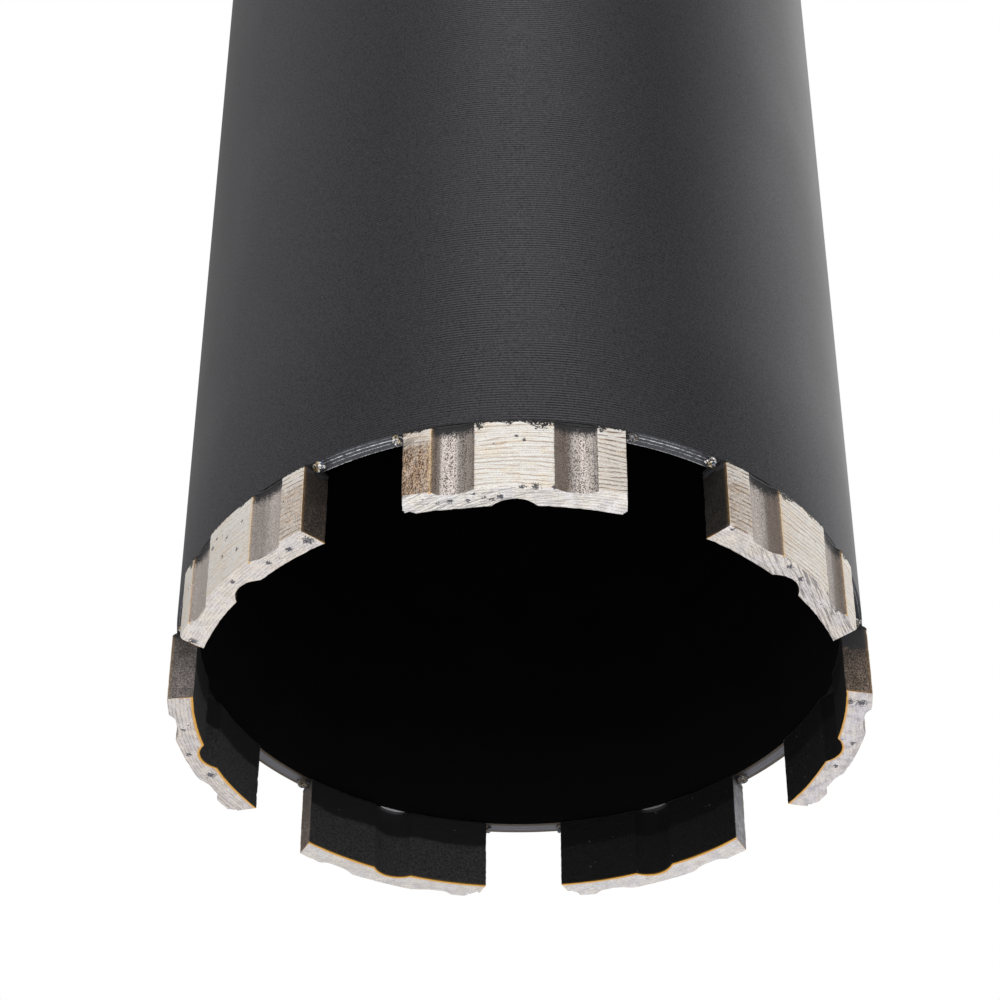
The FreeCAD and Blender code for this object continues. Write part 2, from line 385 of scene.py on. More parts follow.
def wavy_lines(vector, axis, pitch):
    """Crisp lines that follow each other along one axis at about a pitch, wavering and unevenly spaced."""
    jitter_scale = [0.5, 0.5, 0.5]
    jitter_scale[axis] = 1.2
    drift = noise(vector, tuple(0.2 * scale for scale in jitter_scale), 2, 0.5)
    jitter = noise(vector, tuple(jitter_scale), 2, 0.5)
    phase = parts(vector)[axis] * (2 * math.pi / pitch) + drift * 16.0 + jitter * 5.0
    return span(calc("SINE", phase), 0.5, 1.0)


def pitted(vector, scale, largest):
    """Pits: small ones scattered in clusters, and speckled ones where the mesh marks them."""
    rarity = noise(vector, 0.45 * scale, 2, 0.5)
    scattered = calc("LESS_THAN", spots(vector, scale), span(rarity, 0.5, 0.72, 0.0, largest))
    pit, = numbers(vector.tree, "pit")
    marked = (noise(vector, 4.0, 2, 0.7) - 0.5) * 2.2 + pit
    return calc("MAXIMUM", scattered, span(marked, 0.60, 0.72))


def bumped(height, strength, distance):
    """A normal tilted by a height."""
    inputs = {"Height": height, "Strength": strength, "Distance": distance}
    return Value(add(height.tree, "ShaderNodeBump", inputs).outputs["Normal"])


def new_tree(name):
    """An empty material and its node tree."""
    material = bpy.data.materials.new(name)
    material.use_nodes = True
    material.node_tree.nodes.clear()
    return material, material.node_tree


def surfaced(name, look, *settings):
    """A material whose principled surface takes the inputs that a look gives for its node tree."""
    material, tree = new_tree(name)
    shader = add(tree, "ShaderNodeBsdfPrincipled", look(tree, *settings))
    add(tree, "ShaderNodeOutputMaterial", {"Surface": Value(shader.outputs["BSDF"])})
    return material


# Segment form

def smooth_least(first, second, width):
    """The lesser of two values, rounded where they cross."""
    share = np.clip(0.5 + 0.5 * (second - first) / width, 0, 1)
    return second * (1 - share) + first * share - width * share * (1 - share)


def groove_depth(across):
    """Depth of the outer face's grooves at a place across the segment."""
    place = np.abs(across) - CENTRE_LAND / 2
    centre_wall = place * GROOVE_DEPTH / GROOVE_CENTRE_SLOPE
    end_wall = (GROOVE_MOUTH - place) * GROOVE_DEPTH / GROOVE_END_SLOPE
    floor = smooth_least(smooth_least(centre_wall, end_wall, 0.1), GROOVE_DEPTH, 0.3)
    return -smooth_least(-floor, 0.0, 0.06)


def weld_fill(up):
    """Share of the grooves' depth that the weld leaves open, at a height."""
    share = np.clip((up - SEGMENT_HEIGHT + WELD_FILL_HEIGHT) / WELD_FILL_HEIGHT, 0, 1)
    flush = (BIT_RADIUS - BARREL_OUTER) / GROOVE_DEPTH
    return 1 - (1 - flush) * share ** 2


def outer_face(across, up):
    """Outward place of the outer face."""
    return np.sqrt((BIT_RADIUS - groove_depth(across) * weld_fill(up)) ** 2 - across ** 2)


def inner_face(across):
    """Outward place of the inner face, with its round notch."""
    plain = np.sqrt(INNER_RADIUS ** 2 - across ** 2)
    half = NOTCH_MOUTH / 2
    rise = INNER_RADIUS + NOTCH_DEPTH - math.sqrt(INNER_RADIUS ** 2 - half ** 2)
    radius = (half ** 2 + rise ** 2) / (2 * rise)
    notch = INNER_RADIUS + NOTCH_DEPTH - radius + np.sqrt(np.maximum(radius ** 2 - across ** 2, 0))
    return np.where(np.abs(across) < half, np.maximum(plain, notch), plain)


def on_crown(local, index):
    """Places across, outward and up on a segment, turned to their place in the crown."""
    turn = index * 2 * math.pi / SEGMENT_COUNT
    across, outward, up = np.asarray(local, float).T
    x = across * math.cos(turn) + outward * math.sin(turn)
    y = across * math.sin(turn) - outward * math.cos(turn)
    return np.stack([x, y, up], axis=-1)


def rounded_block(distances, sizes, radius):
    """Places in a block moved so that its edges are rounded, by a radius for each vertex."""
    core = np.clip(distances, radius[:, None], sizes - radius[:, None])
    away = distances - core
    length = np.maximum(np.linalg.norm(away, axis=1), 1e-9)
    return np.where(length[:, None] > 1e-6, core + away * (radius / length)[:, None], distances)


# How far each segment's cutting face is worn back at its four corners, in millimetres:
# outer left, outer right, inner left, inner right, as seen from outside
WORN_CORNERS = (
    (0.45, 0.33, 0.38, 0.0),
    (0.20, 0.25, 0.0, 0.18),
    (0.0, 0.0, 0.0, 0.0),
    (0.0, 0.05, 0.05, 0.10),
    (0.05, 0.22, 0.0, 0.0),
    (0.0, 0.22, 0.15, 0.0),
    (0.0, 0.10, 0.0, 0.0),
)

# Chips and deep pits: segment, place (across, outward, up), radius, depth, direction of the hollow
OUTER_END = math.sqrt(BIT_RADIUS ** 2 - HALF_LENGTH ** 2)
INNER_END = math.sqrt(INNER_RADIUS ** 2 - HALF_LENGTH ** 2)
CHIPS = (
    (1, (-HALF_LENGTH, INNER_END, 0.3), 0.8, 0.30, (1, 1, 1)),
    (1, (-11.2, INNER_END + 0.3, 0.1), 0.5, 0.22, (0, 1, 1)),
    (1, (HALF_LENGTH, INNER_END, 0.0), 0.6, 0.32, (-1, 1, 1)),
    (1, (-2.2, 40.4, 0.0), 0.5, 0.12, (0, -1, 1)),
    (1, (2.3, 40.6, 0.3), 0.4, 0.14, (0, -1, 0)),
    (2, (-HALF_LENGTH, OUTER_END, 0.1), 0.7, 0.25, (1, -1, 1)),
    (2, (0.0, 39.3, 0.0), 1.1, 0.10, (0, 0, 1)),
    (2, (8.0, 39.6, 0.0), 0.4, 0.15, (0, 0, 1)),
    (4, (HALF_LENGTH, OUTER_END, 0.0), 1.1, 0.60, (-1, -1, 0.6)),
    (5, (-HALF_LENGTH, OUTER_END, 0.0), 1.2, 0.65, (1, -1, 0.6)),
    (3, (HALF_LENGTH, OUTER_END, 0.0), 0.9, 0.40, (-1, -1, 0.6)),
    (6, (-HALF_LENGTH, OUTER_END, 0.0), 0.8, 0.35, (1, -1, 0.6)),
    (7, (11.1, 37.3, 0.0), 0.55, 0.22, (0, 0, 1)),
    (7, (8.6, 38.9, 0.0), 0.4, 0.14, (0, 0, 1)),
    (7, (-11.7, 37.8, 0.0), 0.5, 0.15, (0, 0, 1)),
)


def rows_for(table, index):
    """The rest of the rows that are for a segment, where the first column is its number."""
    return [row[1:] for row in table if row[0] == index + 1]


def worn_back(index, across, inward):
    """Height that wear took off the cutting face, across and at a share of the thickness inward."""
    reach = np.clip((np.abs(across) - WEAR_START) / (HALF_LENGTH - WEAR_START), 0, 1) ** 1.4
    outer_left, outer_right, inner_left, inner_right = WORN_CORNERS[index]
    outer = np.where(across < 0, outer_left, outer_right)
    inner = np.where(across < 0, inner_left, inner_right)
    return reach * (outer + (inner - outer) * inward)


def hollow(local, centre, radius, depth, direction, field):
    """Push a ragged hollow into the vertices near a place."""
    away = np.linalg.norm(local - np.array(centre), axis=1) / radius
    away = away * (1 + 0.3 * field.at(local, 2.2, 2))
    share = np.clip(1 - away ** 2, 0, 1) ** 0.6
    direction = np.array(direction, float)
    return local + share[:, None] * depth * direction / np.linalg.norm(direction)


def ridge(distance, width):
    """1 at no distance, falling to nothing over a width."""
    return np.exp(-(distance / width) ** 2)


def segment_mesh(index):
    """One segment: places of its vertices in its own frame, its faces and the side of each face."""
    field = Field(100 + index)
    across = spaced((-HALF_LENGTH, *LAND_EDGES, HALF_LENGTH), 0.115, 0.55)
    deep = spaced((0.0, 1.0), 1 / 20, 0.7)
    high = spaced((0.0, SEGMENT_HEIGHT), 0.15, 0.7)
    counts = len(across), len(deep), len(high)
    places, faces, sides = box_shell(*counts)
    at_across, at_deep, at_high = across[places[:, 0]], deep[places[:, 1]], high[places[:, 2]]
    outer = outer_face(at_across, at_high)
    thickness = outer - inner_face(at_across)
    block = np.stack([at_across + HALF_LENGTH, at_deep * thickness, at_high], axis=-1)
    sizes = np.full(block.shape, (2 * HALF_LENGTH, 0.0, SEGMENT_HEIGHT))
    sizes[:, 1] = thickness
    ragged = np.clip(field.at(block, 0.9, 4) - 0.25, 0, 1)
    low_outer = np.clip(1 - at_high / 2, 0, 1) * np.clip(1 - 2 * at_deep, 0, 1)
    wear = 0.05 + 0.22 * ragged + 0.12 * low_outer
    block = rounded_block(block, sizes, np.clip(wear, 0.04, 0.4))
    local = np.stack([block[:, 0] - HALF_LENGTH, outer - block[:, 1], block[:, 2]], axis=-1)

    sand = np.clip(0.5 + 0.5 * field.at(local, 3.5, 2), 0, 1)
    scores = np.clip(0.5 + 0.5 * field.at(local, (0.35, 2.6, 2.6), 3), 0, 1)
    at_left, at_outer, at_bottom = (places == 0).T
    at_right, at_inner, _ = (places == np.array(counts) - 1).T
    land_rough = np.where(groove_depth(at_across) > 0.1, 0.035 * sand, 0.018 * scores)
    local[:, 1] -= np.where(at_outer, land_rough, 0)
    local[:, 1] += np.where(at_inner, 0.03 * sand, 0)
    wander = 0.12 * field.at(local, 2.2, 2) * at_outer
    for edge in LAND_EDGES:
        local[:, 0] += wander * ridge(at_across - edge, 0.3)
    reach = np.hypot(local[:, 0], local[:, 1])
    local[:, :2] *= np.minimum(1, (BIT_RADIUS - 0.005) / reach)[:, None]
    local[:, 0] += np.where(at_left, 0.035 * sand, 0) - np.where(at_right, 0.035 * sand, 0)
    uneven = 0.10 * np.clip(field.at(local, (0.18, 0.5, 0.0), 2) + 0.1, 0, 1)
    lift = worn_back(index, at_across, at_deep) + uneven
    local[:, 2] += lift * (1 - at_high / SEGMENT_HEIGHT)
    local[:, 2] += np.where(at_bottom, 0.03 * scores, 0)
    for chip in rows_for(CHIPS, index):
        local = hollow(local, *chip, field)
    return local, faces, sides


# Stage, lamps and camera

def make_camera():
    """The camera at the photo's place."""
    pitch, yaw, roll = [math.radians(turn) for turn in (CAMERA_PITCH, CAMERA_YAW, CAMERA_ROLL)]
    forward = Vector((math.sin(yaw) * math.cos(pitch), math.cos(yaw) * math.cos(pitch), math.sin(pitch)))
    level = Vector((math.cos(yaw), -math.sin(yaw), 0))
    upright = level.cross(forward)
    right = math.cos(roll) * level + math.sin(roll) * upright
    up = -math.sin(roll) * level + math.cos(roll) * upright
    data = bpy.data.cameras.new("camera")
    data.sensor_width = 36
    data.lens = CAMERA_LENS
    data.clip_start = 0.01
    data.clip_end = 50
    camera = bpy.data.objects.new("camera", data)
    turn = Matrix((right, up, -forward)).transposed().to_4x4()
    camera.matrix_world = Matrix.Translation(CAMERA_PLACE * MM) @ turn
    bpy.context.scene.collection.objects.link(camera)
    bpy.context.scene.camera = camera


WORLD_LIGHT = 0.62


def make_world():
    """White to the eye, in gloss and through glass; plainer light on matt surfaces."""
    world = bpy.data.worlds.new("studio")
    bpy.context.scene.world = world
    world.use_nodes = True
    tree = world.node_tree
    tree.nodes.clear()
    path = add(tree, "ShaderNodeLightPath").outputs
    seen = Value(path["Is Camera Ray"]) + Value(path["Is Glossy Ray"]) + Value(path["Is Transmission Ray"])
    strength = span(seen, 0, 1, WORLD_LIGHT, 1.0, "LINEAR")
    background = add(tree, "ShaderNodeBackground", {"Color": (1, 1, 1, 1), "Strength": strength})
    add(tree, "ShaderNodeOutputWorld", {"Surface": Value(background.outputs["Background"])})


def make_stage(name, material_name, vertices, faces, colour, clear_share, hidden_from):
    """A matt object that isn't part of the bit, clear by a share that a function gives for its node tree."""
    material, tree = new_tree(material_name)
    shaders = (add(tree, "ShaderNodeBsdfDiffuse", {"Color": colour}), add(tree, "ShaderNodeBsdfTransparent"))
    matt, clear = [Value(shader.outputs["BSDF"]) for shader in shaders]
    mixed = add(tree, "ShaderNodeMixShader", {0: clear_share(tree), 1: matt, 2: clear})
    add(tree, "ShaderNodeOutputMaterial", {"Surface": Value(mixed.outputs["Shader"])})
    mesh = bpy.data.meshes.new(name)
    mesh.from_pydata(vertices, [], faces)
    mesh.materials.append(material)
    item = bpy.data.objects.new(name, mesh)
    bpy.context.scene.collection.objects.link(item)
    for kind in hidden_from:
        setattr(item, f"visible_{kind}", False)
    return item


FLOOR_HALF = 6.0


def make_floor():
    """Pale floor that holds the shadow, clear to a camera below it."""
    corners = [(-1, -1), (1, -1), (1, 1), (-1, 1)]
    vertices = [(FLOOR_HALF * x, FLOOR_HALF * y, 0) for x, y in corners]
    pale = (0.88, 0.88, 0.88, 1)
    hidden_from = ("shadow", "diffuse", "glossy", "transmission")
    make_stage("floor", "floor_pale", vertices, [(0, 1, 2, 3)], pale, from_behind, hidden_from)


def from_behind(tree):
    """1 where a face is seen from behind."""
    return Value(add(tree, "ShaderNodeNewGeometry").outputs["Backfacing"])


# Reflected brightness round the axis at chosen angles in degrees, 0 towards the camera, positive to the right
FLAG_SHADES = ((-180, 0.5), (-150, 0.32), (-110, 0.42), (-80, 0.5), (-50, 0.25), (-25, 0.45), (-5, 1.0),
               (8, 1.0), (25, 0.55), (45, 0.2), (62, 0.16), (80, 0.5), (100, 0.85), (120, 1.0), (180, 1.0))
FLAG_RADIUS = 1.4
FLAG_LOW = -5
FLAG_HIGH = 88
FLAG_FADE = 20


def make_flag_dome():
    """Grey flags round and over the bit that only its gloss sees."""
    around = np.arange(-180, 181, 5)
    upward = np.linspace(FLAG_LOW, FLAG_HIGH, 24)
    turn, lift = np.meshgrid(np.radians(around), np.radians(upward), indexing="ij")
    vertices = FLAG_RADIUS * np.stack([
        np.sin(turn) * np.cos(lift),
        -np.cos(turn) * np.cos(lift),
        np.sin(lift),
    ], axis=-1).reshape(-1, 3)
    faces = grid_faces(np.arange(turn.size).reshape(turn.shape).T)
    black = (0, 0, 0, 1)
    hidden_from = ("camera", "diffuse", "shadow", "transmission", "volume_scatter")
    dome = make_stage(
        "flag_dome", "flag_grey", vertices.tolist(), faces.tolist(), black, flag_shade, hidden_from,
    )
    values = np.interp(around, *zip(*FLAG_SHADES))[:, None]
    fade = np.clip((upward - FLAG_LOW) / FLAG_FADE, 0, 1)
    set_numbers(dome, shade=(1 - (1 - values) * fade).ravel())


def flag_shade(tree):
    """How much of the white round the flags shows through them."""
    return numbers(tree, "shade")[0]


LAMP_TARGET = Vector((0, 0, 0.05))


def make_lamp(name, place, size, strength, in_gloss):
    """A square soft lamp aimed at the bit's foot."""
    data = bpy.data.lights.new(name, "AREA")
    data.shape = "SQUARE"
    data.size = size
    data.energy = strength
    lamp = bpy.data.objects.new(name, data)
    lamp.visible_glossy = in_gloss
    lamp.location = place
    lamp.rotation_mode = "QUATERNION"
    lamp.rotation_quaternion = (LAMP_TARGET - Vector(place)).to_track_quat("-Z", "Y")
    bpy.context.scene.collection.objects.link(lamp)


# Looks: what the principled surfaces of the materials take

# Pitch of the barrel's turning lines, and the painted highlights along turned rings on its end face: radius,
# half width, strength
TURNING_PITCH = 0.36
RIM_PAINTED_HIGHLIGHTS = (
    (BARREL_OUTER - 0.30, 0.08, 0.35),
    (BARREL_OUTER - 0.75, 0.11, 0.95),
    (BARREL_OUTER - 1.25, 0.09, 0.6),
    (BARREL_INNER + 0.07, 0.12, 0.7),
)
PAINT = (0.014, 0.013, 0.014)


def coat(tree):
    """Satin black coat over fine turning lines."""
    place = in_mm(tree)
    across, _, up = parts(place)
    turning = calc("SINE", up * (2 * math.pi / TURNING_PITCH))
    strength = span(noise(place, (0.12, 0.12, 0.3), 3, 0.6), 0.36, 0.64, 0.12, 0.38)
    from_middle = calc("ABSOLUTE", across - 1.0)
    strength = strength * span(from_middle, 5.0, 13.0, 1.0, 0.4)
    grain = noise(place, 5.0, 2, 0.6)
    tone = (grain - 0.5) * 1.1 + turning * strength * 0.9 + 0.5
    patches = noise(place, (0.05, 0.05, 0.03), 3, 0.5)
    return {
        "Base Color": blend(span(tone, -0.1, 1.1), (0.003, 0.003, 0.004), (0.036, 0.036, 0.041)),
        "Roughness": span(patches, 0.3, 0.7, 0.35, 0.41),
        "Normal": bumped(tone, 0.3, 0.00003),
        "IOR": 1.55,
        "Specular IOR Level": span(tone, 0.0, 1.0, 0.17, 0.83),
        "Specular Tint": (0.97, 0.94, 1.0, 1.0),
    }


def rim(tree):
    """Turned end face of the barrel, dark steel with painted highlights along a few rings and where the far
    notches show it.
    """
    place = in_mm(tree)
    radius = from_axis(place)
    broken = noise(place, 1.3, 3, 0.65)
    grain = noise(place, 6.0, 2, 0.6)
    bright = 0.0
    # painted highlights along the turned rings
    for middle, half_width, strength in RIM_PAINTED_HIGHLIGHTS:
        away = calc("ABSOLUTE", radius - middle)
        bright = calc("MAXIMUM", span(away, 0.0, half_width, strength, 0.0), bright)
    bright = bright * span(broken, 0.36, 0.56, 0.15, 1.0) * span(grain, 0.38, 0.58, 0.4, 1.3)
    crescent, worn, shown = numbers(tree, "crescent", "worn", "shown")
    slate = blend(span(grain, 0.35, 0.65), (0.035, 0.036, 0.044), (0.085, 0.087, 0.10))
    # painted highlights: near white on the rings and where the far notches show the face
    colour = blend(calc("MAXIMUM", bright, crescent), slate, (0.92, 0.92, 0.96))
    from_middle = calc("ABSOLUTE", radius - BARREL_MIDDLE)
    bare = blend(span(from_middle, 0.35, 0.8), (0.10, 0.10, 0.115), (0.05, 0.032, 0.013))
    colour = blend(worn * span(broken, 0.3, 0.5, 0.7, 1.0), colour, bare)
    colour = blend(shown, (0.014, 0.014, 0.015), colour)
    return {"Base Color": colour, "Metallic": 0.7, "Roughness": 0.42, "Normal": bumped(grain, 0.5, 0.00008)}


def bore(tree):
    """Dull black coat inside the barrel, made darker still as painted shade deep in the bore."""
    place = in_mm(tree)
    # painted shade: nearly black, darker than the coat itself
    colour = blend(noise(place, 0.15, 4, 0.6), (0.001, 0.001, 0.001), (0.0035, 0.0035, 0.004))
    normal = bumped(noise(place, 2.5, 3, 0.6), 0.3, 0.0001)
    return {"Base Color": colour, "Roughness": 0.7, "Normal": normal, "Specular IOR Level": 0.06}


def ground(tree):
    """Ground metal of the lands: cream with brown grinding lines, burns, pits, a ragged paint edge and
    painted orange highlights along some edges.
    """
    local, grain = vectors(tree, "local", "grain")
    up = parts(local)[2]
    burn, lined, land_tone, dashed = numbers(tree, "burn", "lined", "land_tone", "dashed")
    scratched, golden, paint_drop = numbers(tree, "scratched", "golden", "paint_drop")
    sand = noise(grain, 7.5, 1, 0.6)
    patches = noise(grain, (0.4, 0.4, 0.9), 3, 0.6)
    fading = noise(grain, (0.3, 0.3, 1.3), 2, 0.5)
    coarse_lines = wavy_lines(grain, 2, 0.62)
    bold = coarse_lines * span(fading, 0.34, 0.55)
    faint = wavy_lines(grain, 2, 0.31) * span(fading, 0.66, 0.44, 0.1, 0.7)
    lines = calc("MAXIMUM", bold, faint) * lined

    cream = blend(span(patches, 0.34, 0.56), (1.0, 0.90, 0.78), (1.0, 0.965, 0.91))
    cream = dimmed(dimmed(cream, span(sand, 0.3, 0.7, 0.86, 1.17)), land_tone)
    brown = blend(sand, (0.26, 0.15, 0.085), (0.64, 0.44, 0.29))
    colour = blend(lines * 0.7, cream, brown)
    broken = span(noise(grain, (0.7, 0.7, 1.6), 2, 0.5), 0.40, 0.52)
    colour = blend(coarse_lines * broken * 0.9 * dashed, colour, (0.16, 0.095, 0.055))

    fibres = noise(grain, (8.5, 8.5, 3.8), 2, 0.6)
    scorched = blend(span(fibres, 0.40, 0.60), (0.075, 0.032, 0.015), (0.78, 0.55, 0.38))
    upright = noise(grain, (1.6, 1.6, 0.35), 3, 0.6)
    top = span(upright * 3.0 + up, SEGMENT_HEIGHT - 1.3, SEGMENT_HEIGHT + 0.2, 1.0, 0.12)
    colour = blend(burn * span(upright, 0.34, 0.56, 0.65, 1.0) * top, colour, scorched)
    slanting = mapped(mapped(grain, Rotation=(0, 0.62, 0)), Scale=(0.25, 0.25, 2.4))
    colour = blend(hairlines(slanting, 0.08) * scratched * 0.85, colour, (0.13, 0.085, 0.05))
    # painted orange highlight along edges
    colour = blend(golden * span(sand, 0.35, 0.6, 0.45, 1.0), colour, (0.95, 0.70, 0.42))
    pits = pitted(grain, 1.2, 0.15)
    colour = blend(pits, colour, (0.13, 0.12, 0.12))

    ragged = noise(grain, 2.6, 4, 0.7)
    reach = span(ragged, 0.36, 0.56, 0.3, 1.15) * paint_drop
    paint = calc("GREATER_THAN", up, SEGMENT_HEIGHT + 0.02 - reach)
    fleck = calc("GREATER_THAN", noise(grain, 5.0, 2, 0.6), 0.60)
    paint = paint - paint * fleck
    height = sand * 0.35 + (1.0 - calc("MAXIMUM", lines, pits))
    return {
        "Base Color": blend(paint, colour, PAINT),
        "Metallic": (1.0 - paint) * 0.4,
        "Roughness": 0.42,
        "Normal": bumped(height, 0.6, 0.00006),
    }


def cutting(tree):
    """Cutting face: pale with cool and warm mottles, arc strokes, slanting scratches, pits and painted orange
    highlights along its edges.
    """
    grain, arc, slanted, tint = vectors(tree, "grain", "arc", "slanted", "tint")
    scored, stroked, blotched, golden = numbers(tree, "scored", "stroked", "blotched", "golden")
    sand = noise(grain, 5.5, 1, 0.6)
    mottle = noise(grain, 0.8, 3, 0.55)
    cast = noise(grain, 0.45, 3, 0.6)
    colour = blend(span(cast, 0.38, 0.6), (0.93, 0.92, 0.94), (1.0, 0.96, 0.90))
    colour = dimmed(colour, span(sand, 0.34, 0.66, 0.86, 1.12))
    colour = blend(span(mottle, 0.44, 0.66) * blotched, colour, (0.56, 0.54, 0.59))
    strokes = wavy_lines(arc, 1, 0.42) * span(mottle, 0.4, 0.55, 0.2, 0.9) * stroked
    colour = blend(strokes, colour, (0.50, 0.43, 0.38))
    deep = hairlines(slanted, 0.06) * scored * span(cast, 0.35, 0.5, 0.3, 1.0)
    colour = blend(deep * 0.85, colour, (0.13, 0.13, 0.15))
    colour = blend(1.0, colour, tint, "MULTIPLY")
    pits = pitted(grain, 1.5, 0.17)
    colour = blend(pits, colour, (0.10, 0.10, 0.12))
    # painted orange highlight along edges
    colour = blend(span(golden, 0.1, 0.6), colour, (0.76, 0.39, 0.05))
    height = sand * 0.3 + (1.0 - calc("MAXIMUM", calc("MAXIMUM", strokes, deep), pits))
    return {"Base Color": colour, "Metallic": 0.35, "Roughness": 0.45, "Normal": bumped(height, 0.6, 0.00008)}


def groove(tree):
    """Sandy floor and walls of the grooves under painted shade, with painted orange highlights, fading into
    paint at the top.
    """
    local, grain = vectors(tree, "local", "grain")
    up = parts(local)[2]
    spread, shade, golden = numbers(tree, "sandy", "shade", "golden")
    sand = noise(grain, 7.5, 1, 0.6)
    coarse = noise(grain, 2.6, 3, 0.6)
    strip = noise(grain, (2.4, 2.4, 0.1), 3, 0.6)
    tone = strip * 0.2 + coarse * 0.15 + sand * 0.65
    low = spread * 0.37 + 0.05
    high = spread * -0.43 + 0.95
    colour = blend(span(tone, low, high), (0.11, 0.08, 0.065), (1.0, 0.895, 0.835))
    # painted shade: darker and browner where less light falls on the groove's walls and floor
    colour = dimmed(colour, span(shade, 0.0, 1.0, 1.0, 0.3, "LINEAR"))
    colour = blend(span(shade, 0.5, 1.0, 0.0, 0.4), colour, (0.20, 0.13, 0.085))
    paint = span((tone - 0.5) * -3.4 + up, SEGMENT_HEIGHT - 1.75, SEGMENT_HEIGHT - 0.5)
    colour = blend(paint, colour, PAINT)
    # painted orange highlight along edges
    colour = blend(golden * span(sand, 0.35, 0.6, 0.2, 1.0), colour, (0.80, 0.50, 0.24))
    metal = (1.0 - paint) * 0.35
    return {"Base Color": colour, "Metallic": metal, "Roughness": 0.5, "Normal": bumped(tone, 0.8, 0.0001)}


def end(tree):
    """Dark moulded end faces of the segments, brown and grainy under a ragged coat of paint, with painted
    orange highlights at their edges.
    """
    local, grain = vectors(tree, "local", "grain")
    up = parts(local)[2]
    tone, paint_edge, golden = numbers(tree, "tone", "paint_edge", "golden")
    sand = noise(grain, 5.0, 3, 0.7)
    mottle = noise(grain, 0.8, 3, 0.6)
    ragged = noise(grain, 1.6, 4, 0.65)
    brown = blend(span(sand, 0.40, 0.62), (0.020, 0.014, 0.011), (0.18, 0.135, 0.105))
    grey = blend(span(sand, 0.36, 0.66), (0.11, 0.11, 0.12), (0.20, 0.20, 0.215))
    colour = blend(span(tone, 1.2, 1.6), brown, grey)
    colour = dimmed(colour, tone * span(mottle, 0.3, 0.7, 0.7, 1.3))
    colour = dimmed(colour, span(up, 0.0, SEGMENT_HEIGHT, 1.4, 0.6))
    paint = span((ragged - 0.5) * 2.4 + up, paint_edge, SEGMENT_HEIGHT + 1.5)
    colour = blend(span(paint, 0.0, 0.04), colour, (0.030, 0.030, 0.033))
    # painted orange highlight along edges
    colour = blend(golden * 0.6, colour, (0.45, 0.27, 0.10))
    return {"Base Color": colour, "Metallic": 0.2, "Roughness": 0.55, "Normal": bumped(sand, 0.8, 0.0001)}


def inner(tree):
    """Dark inner faces of the segments, darker over their top band, with a few bright specks and painted
    orange highlights at their edges.
    """
    local, grain = vectors(tree, "local", "grain")
    up = parts(local)[2]
    tone, golden = numbers(tree, "tone", "golden")
    sand = noise(grain, 4.0, 3, 0.7)
    rarity = noise(grain, 0.5, 2, 0.5)
    speck = calc("LESS_THAN", spots(grain, 1.3), span(rarity, 0.5, 0.7, 0.0, 0.16))
    dark = blend(span(sand, 0.35, 0.65), (0.017, 0.017, 0.018), (0.05, 0.05, 0.053))
    # darker over the top band, with a ragged edge
    edge = noise(grain, 0.25, 2, 0.5) * 1.5 + up
    paint = span(edge, SEGMENT_HEIGHT - 3.1, SEGMENT_HEIGHT - 2.6)
    colour = dimmed(blend(paint, dark, (0.008, 0.008, 0.009)), tone)
    colour = blend(speck * 0.6, colour, (0.16, 0.15, 0.15))
    # painted orange highlight along edges
    colour = blend(span(golden, 0.45, 0.9, 0.0, 0.8), colour, (0.42, 0.22, 0.03))
    normal = bumped(sand, 0.6, 0.0001)
    return {"Base Color": colour, "Roughness": 0.6, "Normal": normal, "Specular IOR Level": 0.25}


def seam(tree):
    """Laser seam: painted dark, with bare, tinted and sooty metal on the beads."""
    place = in_mm(tree)
    bare, = numbers(tree, "bare")
    tone = noise(place, 3.4, 3, 0.65)
    tint = noise(place, 1.7, 2, 0.5)
    silver = blend(span(tone, 0.42, 0.6), (0.05, 0.048, 0.05), (0.95, 0.92, 0.88))
    silver = blend(span(tint, 0.52, 0.64, 0.0, 0.75), silver, (0.50, 0.33, 0.12))
    silver = blend(span(tint, 0.46, 0.36, 0.0, 0.6), silver, (0.14, 0.18, 0.34))
    return {
        "Base Color": blend(bare, (0.018, 0.018, 0.019), silver),
        "Metallic": bare * 0.8,
        "Roughness": 0.35,
        "Normal": bumped(tone, 0.8, 0.00012),
    }


def turned(tree, dark, light, metallic, roughness, line_scale, line_depth):
    """Turned metal with fine rings, on faces round the axis and across it."""
    place = in_mm(tree)
    ring = add(tree, "ShaderNodeCombineXYZ", {"X": from_axis(place), "Y": parts(place)[2]})
    lines = noise(Value(ring.outputs["Vector"]), line_scale, 3, 0.65)
    stain = noise(place, 0.12, 4, 0.6)
    return {
        "Base Color": blend(span(lines * 0.5 + stain * 0.5, 0.3, 0.7), dark, light),
        "Metallic": metallic,
        "Roughness": span(stain, 0.3, 0.7, roughness - 0.05, roughness + 0.08),
        "Normal": bumped(lines, 0.5, line_depth),
    }


# Pieces

# How bare the barrel's end face is at angles round the axis in degrees
WORN_RIM = ((0, 0.0), (100, 0.0), (115, 0.9), (210, 0.9), (220, 1.0), (240, 1.0), (255, 0.0), (360, 0.0))

# Angles from the far side at which the far notches show the end face, and the strength of the painted
# highlight there, right and left
CRESCENT = (20, 31)
NOTCH_PAINTED_HIGHLIGHT = (0.4, 1.0)


